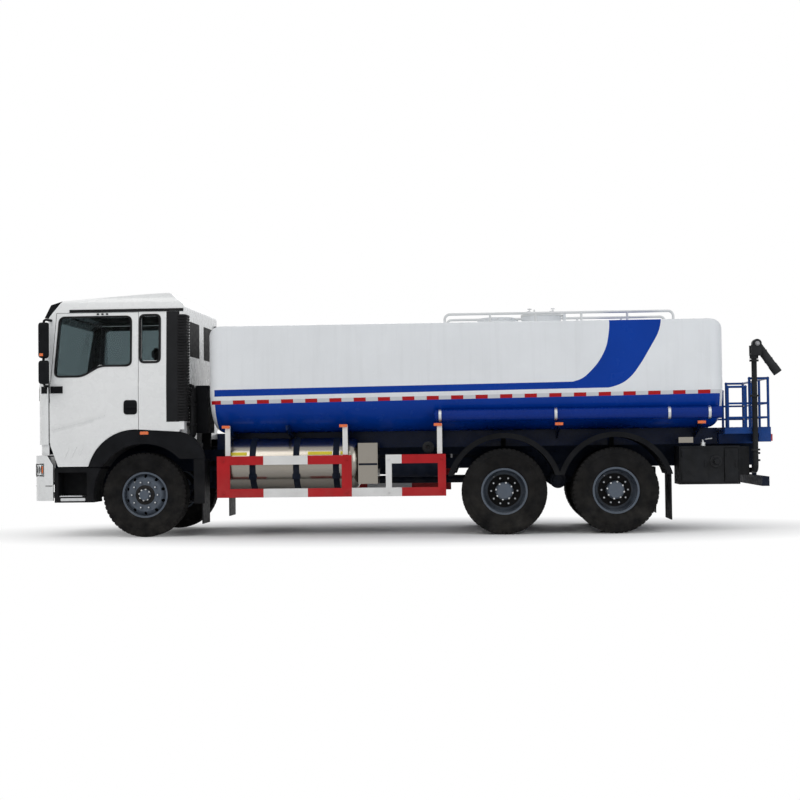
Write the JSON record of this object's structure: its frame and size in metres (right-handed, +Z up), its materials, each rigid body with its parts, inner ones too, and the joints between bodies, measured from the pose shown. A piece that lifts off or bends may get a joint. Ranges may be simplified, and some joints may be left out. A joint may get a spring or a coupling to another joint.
{
  "type": "water tanker truck",
  "caption": "Cab-over water tanker truck with tilting cab, steered front wheels, twin rear wheels, tank, side guards, rear platform and swivelling water gun.",
  "frame": {"origin": "on the ground under the middle of the whole truck", "axes": "+X forward, +Y to the truck's left, +Z up"},
  "size_m": [9.5924, 2.98, 3.1475],
  "materials": {
    "white_paint": "satin",
    "cab_white": "satin",
    "tank_paint": "satin",
    "blue_paint": "satin",
    "guard_paint": "satin",
    "chassis_black": "satin",
    "black_plastic": "matte",
    "interior_plastic": "matte",
    "seat_cloth": "matte",
    "glass": "gloss",
    "lamp_glass": "gloss",
    "lamp_amber": "gloss",
    "stainless": "satin",
    "cast": "matte",
    "rim_steel": "satin",
    "tyre_rubber": "matte",
    "rubber_flap": "matte",
    "pump_paint": "satin"
  },
  "bodies": {
    "chassis": {"frame": "chassis_black", "engine": "cast", "front_axle": "chassis_black", "leaf_springs": "chassis_black", "rear_axles": "chassis_black", "drive_shafts": "chassis_black", "front_bumper": "white_paint", "front_lamps": "lamp_glass", "cab_steps": "black_plastic", "mudguards": "black_plastic", "gas_cylinder": "stainless", "side_boxes": "chassis_black", "side_guards": "guard_paint", "tank_subframe": "blue_paint", "tank": "tank_paint", "top_rails": "white_paint", "hose_tubes": "blue_paint", "platform_deck": "blue_paint", "platform_rails": "blue_paint", "rear_bar": "chassis_black", "water_pump": "pump_paint", "lamps": "lamp_amber", "air_intake": "black_plastic"},
    "cab": {"cab_floor": "interior_plastic", "cab_rear_wall": "cab_white", "cab_sides": "cab_white", "corner_trims": "black_plastic", "cab_roof": "cab_white", "cab_front": "cab_white", "grille": "black_plastic", "cab_glass": "glass", "sun_visor": "black_plastic", "mirrors": "black_plastic", "cab_mudguards": "black_plastic", "seats": "seat_cloth", "dashboard": "interior_plastic"},
    "door_left_body": {"door_left": "cab_white", "door_glass_left": "glass"},
    "door_right_body": {"door_right": "cab_white", "door_glass_right": "glass"},
    "knuckle_left_body": {"knuckle_left": "chassis_black"},
    "knuckle_right_body": {"knuckle_right": "chassis_black"},
    "tie_rod_body": {"tie_rod": "chassis_black"},
    "wheel_front_left": {"rim_front_left": "rim_steel", "tyre_front_left": "tyre_rubber"},
    "wheel_front_right": {"rim_front_right": "rim_steel", "tyre_front_right": "tyre_rubber"},
    "wheel_rear_1_left": {"rim_rear_1_left": "rim_steel", "tyre_rear_1_left": "tyre_rubber"},
    "wheel_rear_1_right": {"rim_rear_1_right": "rim_steel", "tyre_rear_1_right": "tyre_rubber"},
    "wheel_rear_2_left": {"rim_rear_2_left": "rim_steel", "tyre_rear_2_left": "tyre_rubber"},
    "wheel_rear_2_right": {"rim_rear_2_right": "rim_steel", "tyre_rear_2_right": "tyre_rubber"},
    "hatch_body": {"hatch_lid": "white_paint"},
    "gun_swivel_body": {"gun_swivel": "pump_paint"},
    "gun_barrel_body": {"gun_barrel": "pump_paint"}
  },
  "joints": [
    {"name": "cab_tilt", "type": "hinge", "parent": "chassis", "child": "cab", "pos_m": [4.60624, 0, 1.15], "axis": [0, 1, 0], "range_deg": [0, 55]},
    {"name": "door_left_hinge", "type": "hinge", "parent": "cab", "child": "door_left_body", "pos_m": [4.52424, 1.213, 1.5], "axis": [0, 0, -1], "range_deg": [0, 70]},
    {"name": "door_right_hinge", "type": "hinge", "parent": "cab", "child": "door_right_body", "pos_m": [4.52424, -1.213, 1.5], "axis": [0, 0, 1], "range_deg": [0, 70]},
    {"name": "steer_left", "type": "hinge", "parent": "chassis", "child": "knuckle_left_body", "pos_m": [3.31624, 0.84, 0.5425], "axis": [0, 0, 1], "range_deg": [-35, 35]},
    {"name": "steer_right", "type": "hinge", "parent": "chassis", "child": "knuckle_right_body", "pos_m": [3.31624, -0.84, 0.5425], "axis": [0, 0, 1], "range_deg": [-35, 35]},
    {"name": "tie_rod_joint", "type": "hinge", "parent": "knuckle_left_body", "child": "tie_rod_body", "pos_m": [3.03624, 0.84, 0.44], "axis": [0, 0, 1], "range_deg": [-35, 35]},
    {"name": "spin_front_left", "type": "hinge", "parent": "knuckle_left_body", "child": "wheel_front_left", "pos_m": [3.31624, 1, 0.5425], "axis": [0, 1, 0], "continuous": true},
    {"name": "spin_front_right", "type": "hinge", "parent": "knuckle_right_body", "child": "wheel_front_right", "pos_m": [3.31624, -1, 0.5425], "axis": [0, 1, 0], "continuous": true},
    {"name": "spin_rear_1_left", "type": "hinge", "parent": "chassis", "child": "wheel_rear_1_left", "pos_m": [-1.28376, 1, 0.5425], "axis": [0, 1, 0], "continuous": true},
    {"name": "spin_rear_1_right", "type": "hinge", "parent": "chassis", "child": "wheel_rear_1_right", "pos_m": [-1.28376, -1, 0.5425], "axis": [0, 1, 0], "continuous": true},
    {"name": "spin_rear_2_left", "type": "hinge", "parent": "chassis", "child": "wheel_rear_2_left", "pos_m": [-2.68376, 1, 0.5425], "axis": [0, 1, 0], "continuous": true},
    {"name": "spin_rear_2_right", "type": "hinge", "parent": "chassis", "child": "wheel_rear_2_right", "pos_m": [-2.68376, -1, 0.5425], "axis": [0, 1, 0], "continuous": true},
    {"name": "hatch_hinge", "type": "hinge", "parent": "chassis", "child": "hatch_body", "pos_m": [-2.12676, 0, 2.849], "axis": [0, -1, 0], "range_deg": [0, 110]},
    {"name": "gun_yaw", "type": "hinge", "parent": "chassis", "child": "gun_swivel_body", "pos_m": [-4.45376, 1.03, 2.25], "axis": [0, 0, 1], "range_deg": [-110, 110]},
    {"name": "gun_pitch", "type": "hinge", "parent": "gun_swivel_body", "child": "gun_barrel_body", "pos_m": [-4.48776, 1.03, 2.37], "axis": [0, 1, 0], "range_deg": [0, 125]}
  ],
  "couplings": [
    {"joint": "steer_right", "follows": "steer_left", "ratio": 1},
    {"joint": "tie_rod_joint", "follows": "steer_left", "ratio": -1}
  ]
}
